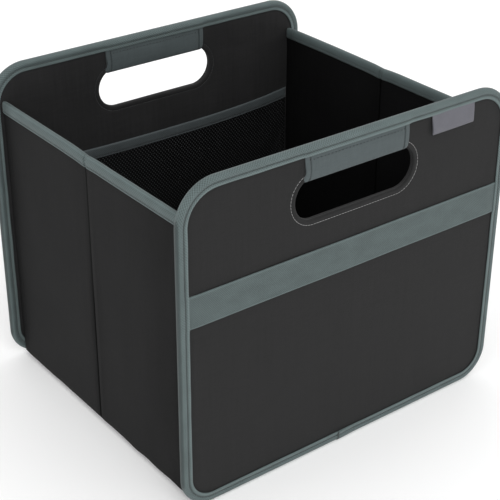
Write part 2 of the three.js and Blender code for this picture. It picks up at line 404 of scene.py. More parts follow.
def netWeave():
    made, wire = newFinish("blackNet")
    along, across = mapOf(wire)
    u, v = along * (2 * math.pi / netCloth["along"]), across * (
        2 * math.pi / netCloth["across"]
    )
    lattice = u.maths("COSINE") * v.maths("COSINE")
    edge = netCloth["open"]
    holes = lattice.add(
        "ShaderNodeMapRange", {"interpolation_type": "SMOOTHSTEP"},
        {"Value": lattice, 1: edge - 0.1, 2: edge + 0.1},
    )
    # the upright strands between the holes catch the light
    dashes = (lattice * -1).maths("MAXIMUM", 0).maths("POWER", 2.5)
    fluff = speckle(wire, along, across, 0.8, 0.8)
    wear = speckle(wire, along, across, 30, 30, 3)
    tone = dashes * (fluff * 0.5 + 0.6) * (wear * 0.6 + 0.5)
    colour = tone.maths("MINIMUM", 1).tint((*netCloth["colour"], 1), (*netCloth["dash"], 1))
    look = {**netCloth, "alpha": 1 - holes * 0.85}
    closeFinish(wire, colour, 0.7 + fluff * 0.2, lattice * -1 + fluff * 0.3, 0.16, look)
    return made


threadColours = {
    "tapeThread": (0.05, 0.062, 0.063), "wrapThread": (0.02, 0.027, 0.029),
    "slotThread": (0.26, 0.26, 0.26), "darkThread": (0.03, 0.032, 0.034),
}


def threadFinish(name):
    made, wire = newFinish(name)
    spot = wire.add("ShaderNodeTexCoord", out="Object")
    strands = wire.add(
        "ShaderNodeTexNoise", inputs={"Vector": spot, "Scale": 2600.0, "Detail": 2.0}
    )
    tones = wire.add("ShaderNodeTexNoise", inputs={"Vector": spot, "Scale": 60.0})
    colour = (strands * 0.7 + tones * 0.3).tint(
        shade(threadColours[name], 0.6), shade(threadColours[name], 1.4)
    )
    closeFinish(wire, colour, 0.55 + strands * 0.2, strands, 0.05, {"sheen": 0.3})
    return made


boardColours = {"fibreBoard": (0.2, 0.17, 0.13), "plasticBoard": (0.42, 0.43, 0.42)}


def boardFinish(name):
    made, wire = newFinish(name)
    spot = wire.add("ShaderNodeTexCoord", out="Object")
    fibres = wire.add(
        "ShaderNodeTexNoise",
        inputs={"Vector": spot, "Scale": 420.0, "Detail": 5.0, "Distortion": 0.6},
    )
    blotches = wire.add("ShaderNodeTexNoise", inputs={"Vector": spot, "Scale": 24.0})
    colour = (fibres * 0.7 + blotches * 0.3).tint(
        shade(boardColours[name], 0.72), shade(boardColours[name], 1.25)
    )
    closeFinish(wire, colour, 0.7 + fibres * 0.2, fibres, 0.08, {"sheen": 0.0})
    return made


gripWrapHalf = 50.5
finishes = {name: plainWeave(name) for name in plainCloth}
finishes.update({name: tapeWeave(name) for name in tapeCloth})
finishes.update({name: threadFinish(name) for name in threadColours})
finishes.update({name: boardFinish(name) for name in boardColours})
finishes["greyLabel"] = satinWeave()
finishes["blackNet"] = netWeave()
print("finishes:", len(finishes))


def layFloor():
    made, wire = newFinish("paleFloor")
    spot = wire.add("ShaderNodeTexCoord", out="Object")
    grain = wire.add("ShaderNodeTexNoise", inputs={"Vector": spot, "Scale": 6.0})
    colour = (grain * 0.25).tint(studio["floorColour"], shade(studio["floorColour"][:3], 0.95))
    closeFinish(wire, colour, 0.8 + grain * 0.05, grain, 0.02, studio)
    half = studio["floorSize"] / 2
    mesh = bpy.data.meshes.new("floor")
    corners = [(-half, -half), (half, -half), (half, half), (-half, half)]
    mesh.from_pydata([(x, y, -0.0006) for x, y in corners], [], [(0, 1, 2, 3)])
    mesh.materials.append(made)
    floor = bpy.data.objects.new("floor", mesh)
    bpy.context.scene.collection.objects.link(floor)


layFloor()


# mesh helpers; all lengths are in millimetres until the mesh is made
def boxOf(node):
    low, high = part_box(node)
    return np.array(low) / mm, np.array(high) / mm


def ripple(x, y, seed, size):
    # gentle unevenness, at most about 1 either way; size is a wave's length
    return 1.6 * noise.noise(Vector((x / size + 7.3 * seed, y / size, 3.1 * seed)))


def ease(value, low, high):
    t = min(1.0, max(0.0, (value - low) / (high - low)))
    return t * t * (3 - 2 * t)


def hump(value, centre, width):
    return math.exp(-(((value - centre) / width) ** 2))


def lengths(points, ring):
    points = np.asarray(points, float)
    steps = np.linalg.norm(np.diff(points, axis=0), axis=1)
    out = np.concatenate([[0], np.cumsum(steps)])
    if ring:
        out = np.append(out, out[-1] + np.linalg.norm(points[0] - points[-1]))
    return out


def turnFaces(mesh, facing):
    # a closed shell faces out of itself, and an open sheet towards facing
    shape = bmesh.new()
    shape.from_mesh(mesh)
    if facing is None:
        wrong = shape.calc_volume(signed=True) < 0
    else:
        # only its outer half counts, so a folded sheet is right as well
        towards = Vector(facing)
        reach = [f.calc_center_median().dot(towards) for f in shape.faces]
        middle = (min(reach) + max(reach)) / 2
        outer = [f for f, r in zip(shape.faces, reach) if r >= middle]
        wrong = sum(f.normal.dot(towards) * f.calc_area() for f in outer) < 0
    if wrong:
        bmesh.ops.reverse_faces(shape, faces=shape.faces)
    shape.to_mesh(mesh)
    shape.free()


def gridPiece(
    name, points, finish, facing=None, ring=False, loop=False, along=None, across=None,
    flatMap=None, thickness=None,
):
    # ring joins the last row to the first, loop the last column to the first
    points = np.asarray(points, float)
    rows, columns = points.shape[:2]
    along = lengths(points[:, columns // 3], ring) if along is None else along
    across = lengths(points[rows // 2], loop) if across is None else across
    faces, uv = [], []
    for i in range(rows if ring else rows - 1):
        for j in range(columns if loop else columns - 1):
            nextRow, nextColumn = (i + 1) % rows, (j + 1) % columns
            corners = [(i, j), (nextRow, j), (nextRow, nextColumn), (i, nextColumn)]
            faces.append([a * columns + b for a, b in corners])
            if flatMap is None:
                uv += [
                    (along[i], across[j]), (along[i + 1], across[j]),
                    (along[i + 1], across[j + 1]), (along[i], across[j + 1]),
                ]
            else:
                uv += [tuple(points[a, b][list(flatMap)]) for a, b in corners]
    if loop and not ring and facing is None:  # close both ends
        for i, order in ((0, 1), (rows - 1, -1)):
            faces.append([i * columns + j for j in range(columns)][::-order])
            uv += [(along[i], across[j]) for j in range(columns)][::-order]
    mesh = bpy.data.meshes.new(name)
    mesh.from_pydata([tuple(p) for p in points.reshape(-1, 3) * mm], [], faces)
    mesh.uv_layers.new(name="cloth").data.foreach_set("uv", np.ravel(uv))
    mesh.polygons.foreach_set("use_smooth", [True] * len(mesh.polygons))
    mesh.materials.append(finishes[finish])
    turnFaces(mesh, facing)
    piece = bpy.data.objects.new(name, mesh)
    bpy.context.scene.collection.objects.link(piece)
    return thicken(piece, thickness) if thickness else piece


looseCloth = {"steps": 20, "growth": 0.003, "mass": 0.06, "stiffness": 14.0, "bend": 0.02}


def hangLoose(piece, columns, reach):
    # the cloth settles under its weight between its sewn edges, at most reach millimetres
    mesh = piece.data
    start = np.array([v.co for v in mesh.vertices])
    rows = len(start) // columns
    sewn = [
        i * columns + j
        for i in range(rows)
        for j in range(columns)
        if i in (0, rows - 1) or j in (0, columns - 1)
    ]
    piece.vertex_groups.new(name="sewn").add(sewn, 1.0, "REPLACE")
    cloth = piece.modifiers.new("cloth", "CLOTH")
    cloth.settings.vertex_group_mass = "sewn"
    cloth.settings.quality = 6
    cloth.settings.mass = looseCloth["mass"]
    cloth.settings.tension_stiffness = looseCloth["stiffness"]
    cloth.settings.compression_stiffness = looseCloth["stiffness"]
    cloth.settings.bending_stiffness = looseCloth["bend"]
    cloth.settings.shrink_min = -looseCloth["growth"]
    cloth.collision_settings.use_collision = False
    cloth.point_cache.frame_end = looseCloth["steps"]
    scene = bpy.context.scene
    for step in range(1, looseCloth["steps"] + 1):
        scene.frame_set(step)
    settled = piece.evaluated_get(bpy.context.evaluated_depsgraph_get())
    moved = np.array([v.co for v in settled.data.vertices]) - start
    far = np.linalg.norm(moved, axis=1, keepdims=True)
    moved *= np.minimum(1, reach * mm / np.maximum(far, 1e-9))
    piece.modifiers.remove(cloth)
    piece.vertex_groups.clear()
    mesh.vertices.foreach_set("co", np.ravel(start + moved))
    scene.frame_set(1)
    sag = round(float(far.max() / mm), 2)
    print("settled", piece.name, "- free sag", sag, "mm, kept to", reach)
    return piece


def thicken(piece, thickness):
    thick = piece.modifiers.new("thickness", "SOLIDIFY")
    thick.thickness = thickness * mm
    thick.offset = -1
    return piece


def dress(piece, nodes):
    if nodes:
        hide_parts(*nodes)
    return piece


def settle(piece, body, slotName, *nodes):
    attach(piece, body)
    return dress(piece, nodes)


def bendBetween(piece, slotName, bodies, start, end, *nodes):
    [v * mm for v in start]
    [v * mm for v in end]
    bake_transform(piece)
    return dress(piece, nodes)


# stitches: one tree for every row
def stitchTree():
    tree = bpy.data.node_groups.new("stitchRows", "GeometryNodeTree")
    for name, kind in (
        ("Rows", "Geometry"), ("Pitch", "Float"), ("Length", "Float"), ("Width", "Float"),
        ("Seed", "Int"), ("Thread", "Material"),
    ):
        tree.interface.new_socket(name, in_out="INPUT", socket_type="NodeSocket" + kind)
    tree.interface.new_socket("Stitches", in_out="OUTPUT", socket_type="NodeSocketGeometry")

    def node(kind, inputs, out=0, **settings):
        made = tree.nodes.new(kind)
        for key, value in settings.items():
            setattr(made, key, value)
        for key, value in inputs.items():
            if isinstance(value, bpy.types.NodeSocket):
                tree.links.new(value, made.inputs[key])
            else:
                made.inputs[key].default_value = value
        return made.outputs[out]

    given = tree.nodes.new("NodeGroupInput").outputs
    line = node("GeometryNodeMeshToCurve", {"Mesh": given["Rows"]})
    spaced = node(
        "GeometryNodeResampleCurve", {"Curve": line, "Length": given["Pitch"]}, mode="LENGTH"
    )
    bead = node("GeometryNodeMeshUVSphere", {"Segments": 6, "Rings": 4, "Radius": 0.5})
    vary = node(
        "FunctionNodeRandomValue", {2: 0.88, 3: 1.06, "Seed": given["Seed"]}, 1,
        data_type="FLOAT",
    )
    longer = node("ShaderNodeMath", {0: given["Length"], 1: vary}, operation="MULTIPLY")
    size = node("ShaderNodeCombineXYZ", {0: given["Width"], 1: given["Width"], 2: longer})
    tangent = node("GeometryNodeInputTangent", {})
    turned = node("FunctionNodeAlignRotationToVector", {"Vector": tangent}, axis="Z")
    sown = node(
        "GeometryNodeInstanceOnPoints",
        {"Points": spaced, "Instance": bead, "Rotation": turned, "Scale": size},
    )
    solid = node("GeometryNodeRealizeInstances", {0: sown})
    smooth = node("GeometryNodeSetShadeSmooth", {0: solid})
    coloured = node("GeometryNodeSetMaterial", {0: smooth, "Material": given["Thread"]})
    tree.links.new(coloured, tree.nodes.new("NodeGroupOutput").inputs[0])
    return tree


stitchRows = stitchTree()


def sew(name, rows, thread, pitch=3.0, length=2.35, width=0.62):
    # rows are lists of points; a row whose last point is its first is a closed one
    points, edges = [], []
    for row in rows:
        first = len(points)
        closed = np.allclose(row[0], row[-1])
        kept = row[:-1] if closed else row
        points += [tuple(np.array(p) * mm) for p in kept]
        edges += [(first + i, first + i + 1) for i in range(len(kept) - 1)]
        if closed:
            edges.append((len(points) - 1, first))
    mesh = bpy.data.meshes.new(name + "Rows")
    mesh.from_pydata(points, edges, [])
    guide = bpy.data.objects.new(name + "Rows", mesh)
    bpy.context.scene.collection.objects.link(guide)
    needle = guide.modifiers.new("needle", "NODES")
    needle.node_group = stitchRows
    wanted = {
        "Pitch": pitch * mm, "Length": length * mm, "Width": width * mm, "Seed": 3,
        "Thread": finishes[thread],
    }
    for item in stitchRows.interface.items_tree:
        if item.in_out == "INPUT" and item.name in wanted:
            needle[item.identifier] = wanted[item.name]
    sewn = guide.evaluated_get(bpy.context.evaluated_depsgraph_get())
    stitched = bpy.data.meshes.new_from_object(sewn)
    stitched.name = name
    piece = bpy.data.objects.new(name, stitched)
    bpy.context.scene.collection.objects.link(piece)
    bpy.data.objects.remove(guide)
    return piece


# face panels: an outline and a handle slot, both as rings of stations
panelLow, panelHigh = boxOf("front_edge_binding")
halfWide, panelTall = panelHigh[0], panelHigh[2]
outerY = -panelLow[1]
panelThick = panelHigh[1] - panelLow[1]
faceShape = {
    "topRadius": 34,
    "bottomRadius": 28,
    "slotWidth": 116,
    "slotHeight": 35,
    "slotCentre": 232,
    "runs": (74, 16, 52, 16, 74, 16, 52, 16),  # stations in each run of a ring
}


def ringOf(knots, counts):
    # each knot is a centre, a radius and an angle; stations lie evenly between knots
    stations = []
    for (start, end), count in zip(zip(knots, knots[1:]), counts):
        for k in range(count):
            t = k / count
            stations.append([a + (b - a) * t for a, b in zip(start, end)])
    return np.array(stations)


def panelKnots():
    low, top = faceShape["bottomRadius"], faceShape["topRadius"]
    lowX, topX, topZ = halfWide - low, halfWide - top, panelTall - top
    return [
        (-lowX, low, low, -90), (lowX, low, low, -90), (lowX, low, low, 0),
        (topX, topZ, top, 0), (topX, topZ, top, 90), (-topX, topZ, top, 90),
        (-topX, topZ, top, 180), (-lowX, low, low, 180), (-lowX, low, low, 270),
    ]


def slotKnots():
    radius, z = faceShape["slotHeight"] / 2, faceShape["slotCentre"]
    x = faceShape["slotWidth"] / 2 - radius
    right = [(x, z, radius, angle) for angle in (-90, -58, 58, 90)]
    left = [(-x, z, radius, angle) for angle in (90, 122, 238, 270)]
    return [(-x, z, radius, -90), *right, *left]


def ringPoint(station, inset):
    x, z, radius, angle = station
    turn = math.radians(angle)
    return (x + (radius - inset) * math.cos(turn), z + (radius - inset) * math.sin(turn))


outlineRing = ringOf(panelKnots(), faceShape["runs"])
slotRing = ringOf(slotKnots(), faceShape["runs"])

faceCloth = {
    "thickness": 0.5,
    "middleRows": 46,
    "unevenness": 0.3,
    # distance from the slot's edge, and depth below the panel's face
    "slotRoll": [
        (0, 2.95), (0, 2.2), (0.03, 1.6), (0.22, 1.05), (0.6, 0.72), (1.2, 0.58),
        (2.2, 0.6), (3.3, 0.72), (3.9, 0.95), (4.3, 1.1), (4.7, 0.98), (5.4, 0.84),
        (7, 0.86), (9, 0.9),
    ],
    # inset from the panel's edge, and depth; the last ones are under the binding
    "rim": [
        (12, 0.9), (10.4, 0.93), (9.4, 1.06), (8.8, 1.1), (8.3, 0.96), (7, 0.8), (5.5, 0.75),
    ],
    "topStitch": 4.3,
}


def faceDepth(x, z, seed):
    return faceCloth["unevenness"] * (
        ripple(x, z, seed, 95) + 0.35 * ripple(x, z, seed + 5, 34)
    )


def makeFaceCloth(name, side, inner, seed, finish):
    # side is -1 at the front and 1 at the back; inner is the lining
    rows = []

    def row(spots, depth):
        line = []
        for x, z in spots:
            wave = faceDepth(x, z, seed) * ease(depth, 3, 1.2)
            sunk = depth + max(-0.2, wave)
            line.append((x, side * (outerY - (panelThick - sunk if inner else sunk)), z))
        rows.append(line)

    for away, depth in faceCloth["slotRoll"]:
        row([ringPoint(s, -away) for s in slotRing], depth)
    near = [ringPoint(s, -9) for s in slotRing]
    far = [ringPoint(s, 12) for s in outlineRing]
    for k in range(1, faceCloth["middleRows"]):
        t = k / faceCloth["middleRows"]
        row([(a[0] + (b[0] - a[0]) * t, a[1] + (b[1] - a[1]) * t) for a, b in zip(near, far)], 0.9)
    for inset, depth in faceCloth["rim"]:
        row([ringPoint(s, inset) for s in outlineRing], depth)
    return gridPiece(
        name, rows, finish, facing=(0, -side if inner else side, 0), loop=True, flatMap=(0, 2),
        thickness=faceCloth["thickness"],
    )


# binding tape round a face panel
edgeTape = {
    "station": 2.4,  # length of a step along the tape
    "unevenness": 0.09,
    "gathers": 0.1,  # ripples where the tape turns a corner
    "gatherLength": 4.4,
    "stitchInset": 5.05,
    "overWrap": 0.75,
    "overBand": 0.5,
    "jointX": -8,
    "jointLength": 17,
    "jointLift": 0.75,
    # inset from the edge, and depth below the panel's face: the outer leg and half the roll
    "leg": [
        (8.5, 0.5), (8.42, 0.15), (8.15, -0.08), (7.6, -0.22), (7.0, -0.26), (6.3, -0.18),
        (5.6, 0.04), (5.05, 0.22), (4.6, 0.14), (4.1, -0.14), (3.4, -0.4), (2.6, -0.46),
        (1.8, -0.3), (1.15, 0.12), (0.62, 0.72), (0.25, 1.45), (0.06, 2.25),
    ],
    "inside": [(8.3, 0.68), (6, 0.72), (3.5, 0.76), (1.7, 0.9), (0.95, 1.6)],
}


def tapeProfile():
    def across(points):
        return [(inset, panelThick - depth) for inset, depth in points]

    leg, inside = edgeTape["leg"], edgeTape["inside"]
    outside = [*leg, (0, panelThick / 2), *across(leg)[::-1]]
    return outside + across(inside) + [(0.75, panelThick / 2)] + inside[::-1]


def edgeStations():
    # finer ring for the tape, starting at its joint in the bottom edge
    knots = panelKnots()
    counts = []
    for start, end in zip(knots, knots[1:]):
        run = math.hypot(end[0] - start[0], end[1] - start[1])
        run += math.radians(abs(end[3] - start[3])) * end[2]
        counts.append(max(8, round(run / edgeTape["station"])))
    ring = ringOf(knots, counts)
    bottom = [i for i, s in enumerate(ring) if s[3] == -90]
    first = min(bottom, key=lambda i: abs(ring[i][0] - edgeTape["jointX"]))
    return np.roll(ring, -first, axis=0)


edgeRing = edgeStations()


def tapeLift(x, z, side, outer):
    # how far the tape stands off because of what runs under it
    lift = 0
    if z > panelTall - 12:
        lift += edgeTape["overWrap"] * (1 - ease(abs(x), 49, 53))
    if side < 0 and outer and abs(x) > halfWide - 12:
        lift += edgeTape["overBand"] * ease(z, 159, 162) * (1 - ease(z, 187, 190))
    return lift


def tapeSpot(station, inset, depth, travelled, side, seed, lift=0.0):
    # a point on the binding, with the tape's small faults
    outer = depth < panelThick / 2
    x, z = ringPoint(station, inset)
    onLeg = ease(inset, 1.0, 4.0)
    off = edgeTape["unevenness"] * ripple(travelled, inset * 3, seed + (0 if outer else 4), 17)
    bend = math.sin(math.radians(2 * station[3])) ** 2
    off += (
        edgeTape["gathers"]
        * bend
        * ease(inset, 2, 6)
        * math.sin(2 * math.pi * travelled / edgeTape["gatherLength"])
    )
    off += onLeg * tapeLift(x, z, side, outer) + lift
    inset = inset + 0.16 * ease(inset, 6, 8) * ripple(travelled, 0, seed + 9, 24)
    inset -= lift * (1 - onLeg)
    x, z = ringPoint(station, inset)
    depth += off * onLeg * (-1 if outer else 1)
    return (x, side * (outerY - depth), z)


def makeEdgeTape(name, side, seed):
    profile = tapeProfile()
    travelled = lengths([(*ringPoint(s, 3), 0) for s in edgeRing], True)
    rows = [
        [tapeSpot(s, inset, depth, run, side, seed) for inset, depth in profile]
        for s, run in zip(edgeRing, travelled)
    ]
    rows = np.array(rows)
    outside = rows[len(rows) // 5]
    return gridPiece(
        name, rows, "greyTape", ring=True, loop=True, along=travelled,
        across=lengths(outside, True),
    )


def makeTapeJoint(name, side, seed):
    # the tape's end laps over its start for a short way
    profile = tapeProfile()
    count = 16
    rows, runs = [], []
    for k in range(count + 1):
        run = edgeTape["jointLength"] * k / count
        station = list(edgeRing[0])
        station[0] = edgeTape["jointX"] + run
        lift = edgeTape["jointLift"] * (1 - 0.9 * ease(run, 3, edgeTape["jointLength"]))
        rows.append(
            [tapeSpot(station, inset, depth, run, side, seed, lift) for inset, depth in profile]
        )
        runs.append(run)
    return gridPiece(
        name, rows, "greyTape", loop=True, along=runs, across=lengths(rows[5], True)
    )


# fabric sleeve over the grip
gripWrap = {
    "halfWidth": gripWrapHalf,
    "low": 246.0,
    "hem": 4.7,  # stitch row, in from each side
    "groove": 0.2,
    "corner": 3.0,
    "unevenness": 0.16,
    # depth and height of the outer surface, from the top down to under the grip
    "leg": [
        (0.55, 25), (0.45, 22.5), (0.1, 20.4), (-0.12, 19.2), (-0.02, 18.2),
        (-0.3, 17), (-0.42, 14.5), (-0.46, 12), (-0.44, 9.5), (-0.4, 7), (-0.32, 5),
        (-0.16, 3.2), (0.12, 1.9), (0.55, 0.95), (1.2, 0.35), (2.1, 0.06),
    ],
    "inside": [(0.8, 25), (0.8, 14), (0.8, 5.2), (1.2, 4.0), (2.0, 3.4)],
}


def wrapSpot(x, depth, rise, side, seed):
    half = gripWrap["halfWidth"]
    outer = depth < panelThick / 2
    away = abs(depth - panelThick / 2)
    onLeg = ease(away, 1.2, 2.6)
    fromEdge = half - abs(x)
    off = -gripWrap["groove"] * hump(fromEdge, gripWrap["hem"], 0.5)
    off += 0.12 * (1 - ease(fromEdge, gripWrap["hem"] - 0.6, gripWrap["hem"]))
    off -= 0.42 * (1 - ease(fromEdge, 0, 0.7))
    off += gripWrap["unevenness"] * ripple(x, rise, seed + (0 if outer else 3), 15)
    off += 0.25 * hump(x, 0, 30) * ease(rise, 2, 8) * (1 - ease(rise, 14, 19))
    depth += off * onLeg * (-1 if outer else 1)
    corner = max(0.0, gripWrap["corner"] - fromEdge)
    lifted = gripWrap["corner"] - math.sqrt(gripWrap["corner"] ** 2 - corner**2)
    z = gripWrap["low"] + rise + lifted * (1 - ease(rise, 3, 12))
    # the left edge pulls in, then runs out along the slot at its foot
    leftWeight = ease(-x, half - 10, half)
    shift = 1.1 * hump(rise, 7.5, 6) - 1.3 * hump(rise, 0, 2.6)
    return (x + leftWeight * shift, side * (outerY - depth), z)


def makeGripWrap(name, side, seed):
    leg, inside = gripWrap["leg"], gripWrap["inside"]

    def across(points):
        return [(panelThick - depth, rise) for depth, rise in points]

    middle = panelThick / 2
    profile = [*leg, (middle, 0), *across(leg)[::-1]]
    profile += across(inside) + [(middle, 3.3)] + inside[::-1]
    half, hem = gripWrap["halfWidth"], gripWrap["hem"]
    near = [0, 0.15, 0.4, 0.8, 1.6, 2.6, 3.5, hem - 0.6, hem - 0.3, hem, hem + 0.3, hem + 0.6, 6.5]
    middles = list(np.linspace(-half + 8, half - 8, 44))
    stations = [-half + v for v in near] + middles + [half - v for v in near[::-1]]
    rows = [[wrapSpot(x, depth, rise, side, seed) for depth, rise in profile] for x in stations]
    return gridPiece(name, rows, "greyWrap", loop=True, along=stations)


# flat webbing band
bandLow, bandHigh = boxOf("front_band")
frontBand = {
    "overhang": 1.4,  # how far the band runs in under the side bindings
    "thickness": 0.95,
    "unevenness": 0.12,
}


def bandDepth(x, z, seed=21):
    # depth of the band's outer surface
    sag = 0.1 * hump(x, 0, 90)
    wave = frontBand["unevenness"] * ripple(x, z, seed, 48)
    return -0.22 - sag + wave + 0.45 * ease(abs(x), 144, 152)


def makeBand(name):
    low, high = bandLow[2], bandHigh[2]
    reach = bandHigh[0] + frontBand["overhang"]
    heights = [0.0, 0.12, 0.45, 0.9, 1.5, 2.2]
    middle = list(np.linspace(3.2, high - low - 3.2, 16))
    rises = heights + middle + [high - low - v for v in heights[::-1]]
    rows = []
    stations = np.linspace(-reach, reach, 150)
    for x in stations:
        drift = 0.22 * ripple(x, 0, 33, 60)
        outside, inside = [], []
        for rise in rises:
            z = low + rise + drift
            edge = min(rise, high - low - rise)
            roll = 0.42 * (1 - math.sqrt(max(0.0, 1 - (1 - min(1.0, edge / 0.5)) ** 2)))
            bead = 0.14 * hump(edge, 1.1, 0.6)
            depth = bandDepth(x, z)
            outside.append((x, -(outerY - (depth + roll - bead)), z))
            inside.append((x, -(outerY - (depth + frontBand["thickness"] - roll)), z))
        rows.append(outside + inside[::-1])
    return gridPiece(name, rows, "greyWebbing", loop=True, along=stations)


# plain folded label
labelLow, labelHigh = boxOf("label_tab")
labelTab = {
    "tuck": 2.6,  # how far it runs up under the binding
    "stand": 0.9,  # how far its free corners stand off
    # depth and height above the fold: down the front leaf and up the back one
    "leaf": [
        (0.2, 18), (-0.1, 15.6), (-0.45, 12.6), (-0.72, 9), (-0.86, 5.6), (-0.9, 3),
        (-0.84, 1.4), (-0.64, 0.45), (-0.3, 0.05), (0.04, 0.35), (0.18, 1.2), (0.22, 3),
        (0.24, 6), (0.3, 10), (0.4, 14), (0.5, 17),
    ],
    "cloth": 0.3,
}


def labelSpot(x, depth, rise):
    low, high = labelLow[0], labelHigh[0]
    t = (x - low) / (high - low)
    edge = min(x - low, high - x)
    free = 1 - ease(rise, 3, 15)
    depth -= labelTab["stand"] * free * (hump(t, 0, 0.22) + 0.45 * hump(t, 1, 0.18))
    depth -= 0.25 * free * math.sin(math.pi * t)
    depth += 0.1 * (1 - ease(edge, 0, 0.5))
    side = 0.5 * free * (hump(t, 0, 0.12) - hump(t, 1, 0.12))
    z = labelLow[2] + rise - 0.5 * math.sin(math.pi * t) * free
    return (x + side, -(outerY - depth), z)


def makeLabel(name):
    low, high = labelLow[0], labelHigh[0]
    edges = [0, 0.15, 0.4, 0.9, 1.8]
    middle = list(np.linspace(low + 3, high - 3, 22))
    stations = [low + v for v in edges] + middle + [high - v for v in edges[::-1]]
    rows = [[labelSpot(x, depth, rise) for depth, rise in labelTab["leaf"]] for x in stations]
    return gridPiece(
        name, rows, "greyLabel", facing=(0, -1, 0), along=stations,
        across=lengths(rows[10], False), thickness=labelTab["cloth"],
    )


def slotStitch(side, inner, seed):
    away = faceCloth["topStitch"]
    row = []
    for station in slotRing:
        x, z = ringPoint(station, -away)
        depth = 0.86 + max(-0.2, faceDepth(x, z, seed))
        row.append((x, side * (outerY - (panelThick - depth if inner else depth)), z))
    # the row stops where the sleeve covers it
    start = [i for i, p in enumerate(row) if not (p[2] > 249 and abs(p[0]) < 50)]
    breaks = [i for i in range(len(start)) if start[i] - start[i - 1] > 1]
    order = start[breaks[0] :] + start[: breaks[0]] if breaks else start
    return [row[i] for i in order]


def tapeStitches(side, seed):
    travelled = lengths([(*ringPoint(s, 3), 0) for s in edgeRing], True)
    rows = []
    for depth in (0.0, panelThick):
        row = [
            tapeSpot(s, edgeTape["stitchInset"], depth, run, side, seed)
            for s, run in zip(edgeRing, travelled)
        ]
        rows.append(row + row[:1])
    return rows


def wrapStitches(side, seed):
    half, hem = gripWrap["halfWidth"], gripWrap["hem"]
    rows = []
    for depth in (-0.32, panelThick + 0.32):
        for x in (-half + hem, half - hem):
            rows.append([wrapSpot(x, depth, rise, side, seed) for rise in np.arange(2.5, 18.5, 1)])
        shown = half - hem
        rows.append(
            [wrapSpot(x, depth, 17.6, side, seed) for x in np.linspace(-shown, shown, 50)]
        )
    return rows


for body, word, side, seed in (("front_panel", "front", -1, 1), ("back_panel", "back", 1, 2)):
    fabric = makeFaceCloth(f"{word}_outer_cloth", side, False, seed, "blackFabric")
    settle(fabric, body, "black_fabric", f"{word}_outer_fabric")
    lining = makeFaceCloth(f"{word}_lining_cloth", side, True, seed + 10, "blackLining")
    settle(lining, body, "black_lining", f"{word}_lining")
    tape = makeEdgeTape(f"{word}_binding_tape", side, seed)
    settle(tape, body, "grey_tape", f"{word}_edge_binding")
    settle(makeTapeJoint(f"{word}_tape_joint", side, seed), body, "grey_tape")
    wrap = makeGripWrap(f"{word}_grip_sleeve", side, seed)
    settle(wrap, body, "grey_wrap", f"{word}_grip_wrap")
    seams = sew(f"{word}_tape_stitches", tapeStitches(side, seed), "tapeThread")
    settle(seams, body, "grey_tape")
    wrapSeams = sew(
        f"{word}_sleeve_stitches", wrapStitches(side, seed), "wrapThread", pitch=3.3,
        length=2.1, width=0.72,
    )
    settle(wrapSeams, body, "grey_wrap")
    slotSeams = sew(
        f"{word}_slot_stitches",
        [slotStitch(side, False, seed), slotStitch(side, True, seed + 10)],
        "slotThread" if side < 0 else "darkThread", pitch=2.7, length=2.5, width=0.5,
    )
    settle(slotSeams, body, "black_fabric")

band = settle(makeBand("front_webbing_band"), "front_panel", "grey_webbing", "front_band")
label = settle(makeLabel("plain_label"), "front_panel", "grey_label", "label_tab")
print("face panels are dressed")


# side walls
wallLow, wallHigh = boxOf("right_front_wall_fabric")
liningLow, _ = boxOf("right_front_wall_lining")
tapeLow, _ = boxOf("right_front_wall_binding")
sideWall = {
    "outerX": wallHigh[0],
    "innerX": liningLow[0],
    "middleX": (wallHigh[0] + liningLow[0]) / 2,
    "seamY": outerY - panelThick + 0.85,  # where the walls meet the face panels
    "cornerY": 121.0,  # from here out, the cloth is a separate corner strip
    "turnY": 124.5,  # from here out, it turns in to the panel
    "flatY": 124.0,
    "topZ": 241.0,
    "footRise": 3.4,  # height at which the foot starts to turn in
    "creaseHalf": 0.9,  # half width of the crease
    "cloth": 0.45,
    "creaseDip": 0.4,
    "creaseTuck": 2.3,  # the lining tucks between the boards, so the fold ends short
    "swell": 0.45,
    "wave": 0.85,
    "footWave": 1.25,
}
cornerJoints = {
    # side, end: bodies of the corner's joint, from the panel to the wall
    (-1, -1): ("front_panel", "left_front_wall"),
    (1, -1): ("front_panel", "right_front_wall"),
    (-1, 1): ("back_panel", "left_rear_wall"),
}


def cornerTurn(y):
    # 0 on the flat of the wall, 1 where it meets the face panel
    near, far = sideWall["turnY"], sideWall["seamY"]
    t = min(1.0, max(0.0, (abs(y) - near) / (far - near)))
    return 1 - math.sqrt(max(0.0, 1 - t * t))


def outerSkin(y, z, side):
    out = sideWall["outerX"]
    fold = hump(y, 0, 0.9)
    shoulder = hump(abs(y), 5.5, 3.6)
    middle = math.sin(math.pi * min(1.0, abs(y) / sideWall["flatY"])) ** 0.8
    rise = math.sin(math.pi * min(1.0, max(0.0, (z - 6) / 236)))
    seed = 41 if side < 0 else 47
    wave = ripple(y, z * 0.25, seed, 30) * 0.6 + ripple(y, z, seed + 1, 75) * 0.5
    flat = 1 - hump(y, 0, 2.0)
    out += flat * (
        sideWall["swell"] * middle * rise
        + 0.32 * shoulder * (0.4 + 0.6 * rise)
        + sideWall["wave"] * max(-0.55, wave) * (0.25 + 0.75 * rise)
    )
    out -= sideWall["creaseDip"] * fold
    return out - 1.7 * cornerTurn(y)


